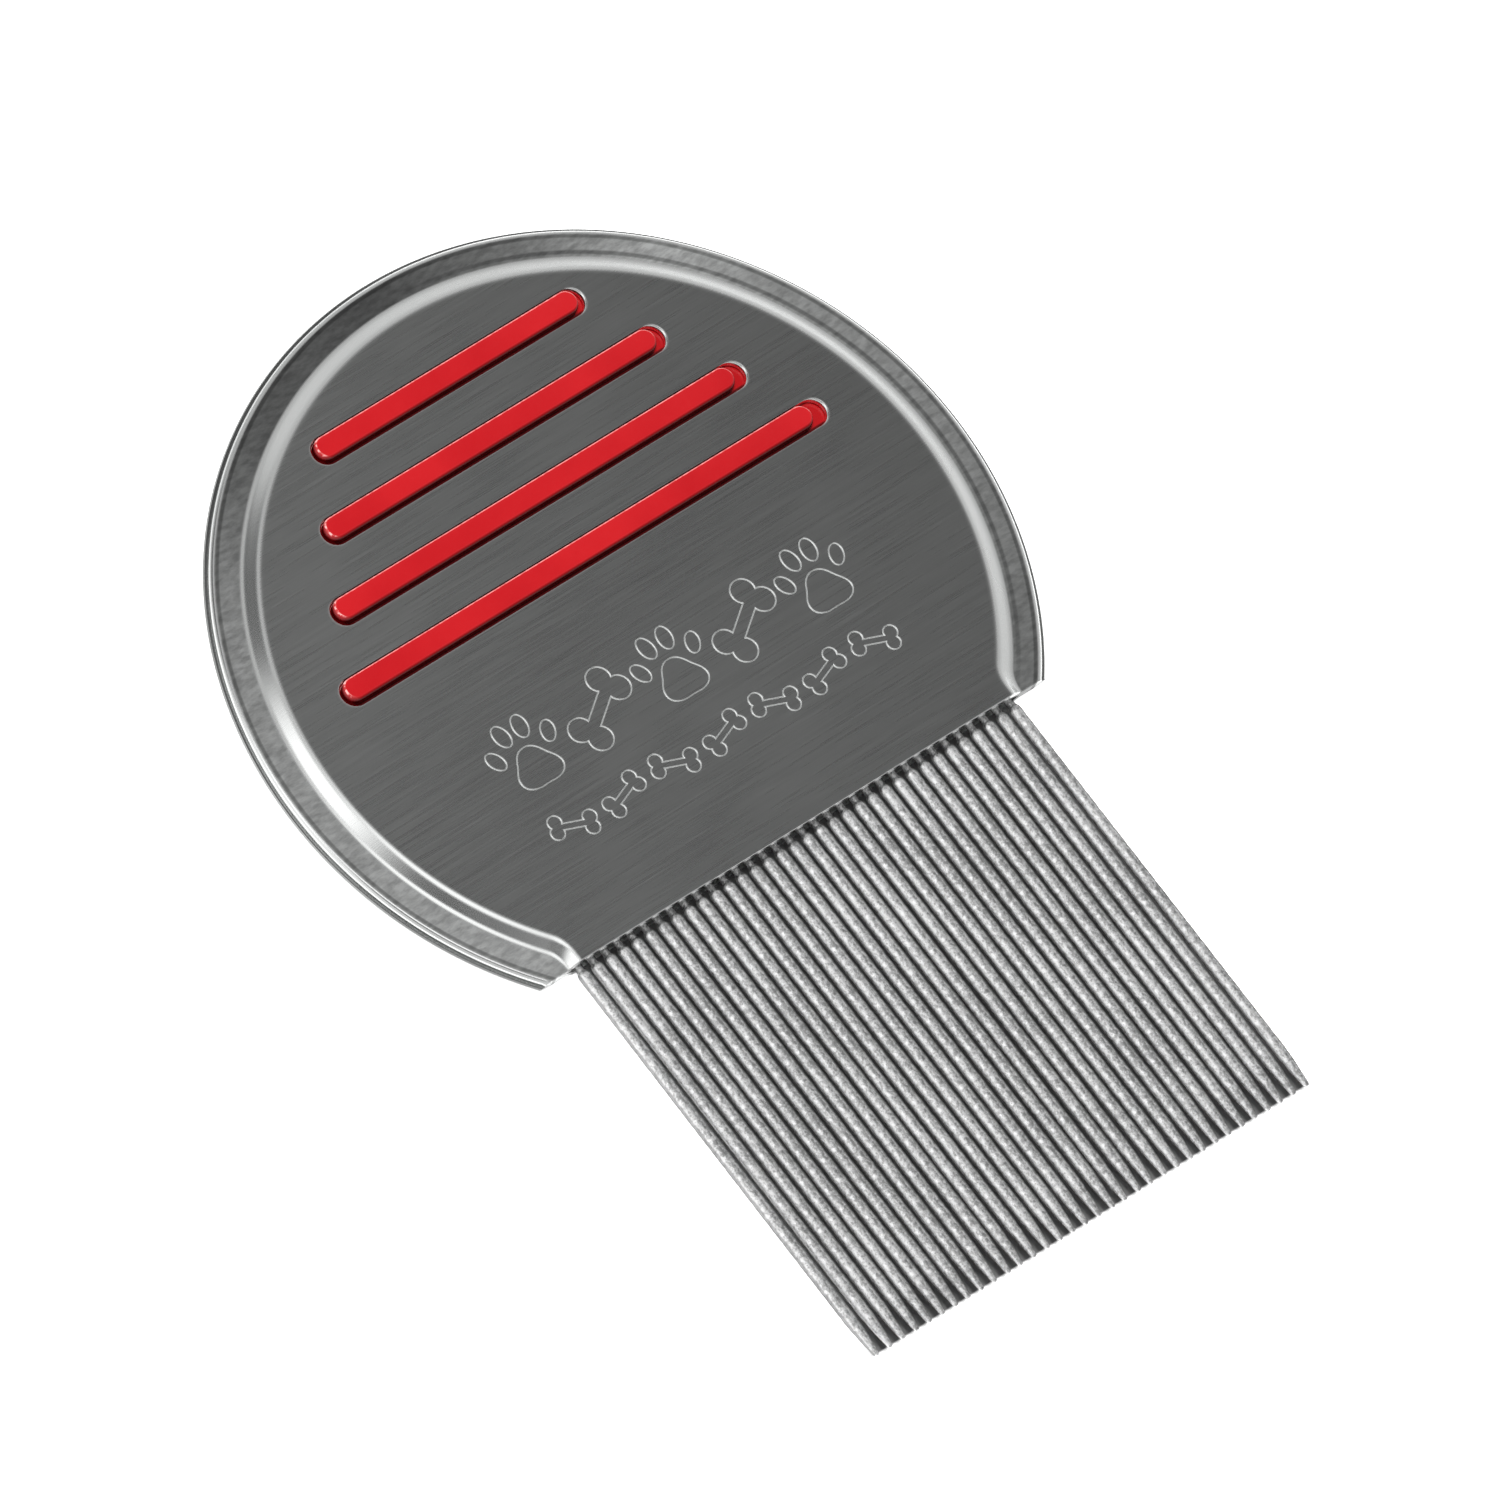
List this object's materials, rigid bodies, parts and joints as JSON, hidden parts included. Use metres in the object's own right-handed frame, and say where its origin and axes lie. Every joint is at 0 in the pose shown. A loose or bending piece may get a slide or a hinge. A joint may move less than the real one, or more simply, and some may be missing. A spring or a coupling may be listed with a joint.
{
  "type": "flea comb",
  "caption": "Flea comb with a close row of round steel wire teeth held in a flat round handle of two pressed steel shells with red plastic grip ribs.",
  "frame": {"origin": "centre of the round handle on its flat back face", "axes": "+X across the row of teeth, +Y from the teeth towards the handle, +Z out of the handle's front face"},
  "size_m": [0.0662, 0.0926, 0.0027],
  "materials": {
    "shell_steel": "fine straight brushed grain on the face, bright rim",
    "tooth_steel": "satin wire with a rolled spiral groove",
    "bar_steel": "plain",
    "grip_plastic": "smooth semi-gloss"
  },
  "bodies": {
    "root": {"front_shell": "shell_steel", "back_shell": "shell_steel", "grip_insert": "grip_plastic", "tooth_bar": "bar_steel", "tooth_01": "tooth_steel", "tooth_02": "tooth_steel", "tooth_03": "tooth_steel", "tooth_04": "tooth_steel", "tooth_05": "tooth_steel", "tooth_06": "tooth_steel", "tooth_07": "tooth_steel", "tooth_08": "tooth_steel", "tooth_09": "tooth_steel", "tooth_10": "tooth_steel", "tooth_11": "tooth_steel", "tooth_12": "tooth_steel", "tooth_13": "tooth_steel", "tooth_14": "tooth_steel", "tooth_15": "tooth_steel", "tooth_16": "tooth_steel", "tooth_17": "tooth_steel", "tooth_18": "tooth_steel", "tooth_19": "tooth_steel", "tooth_20": "tooth_steel", "tooth_21": "tooth_steel", "tooth_22": "tooth_steel", "tooth_23": "tooth_steel", "tooth_24": "tooth_steel", "tooth_25": "tooth_steel", "tooth_26": "tooth_steel", "tooth_27": "tooth_steel", "tooth_28": "tooth_steel", "tooth_29": "tooth_steel", "tooth_30": "tooth_steel", "tooth_31": "tooth_steel", "tooth_32": "tooth_steel", "tooth_33": "tooth_steel", "tooth_34": "tooth_steel"}
  },
  "joints": []
}
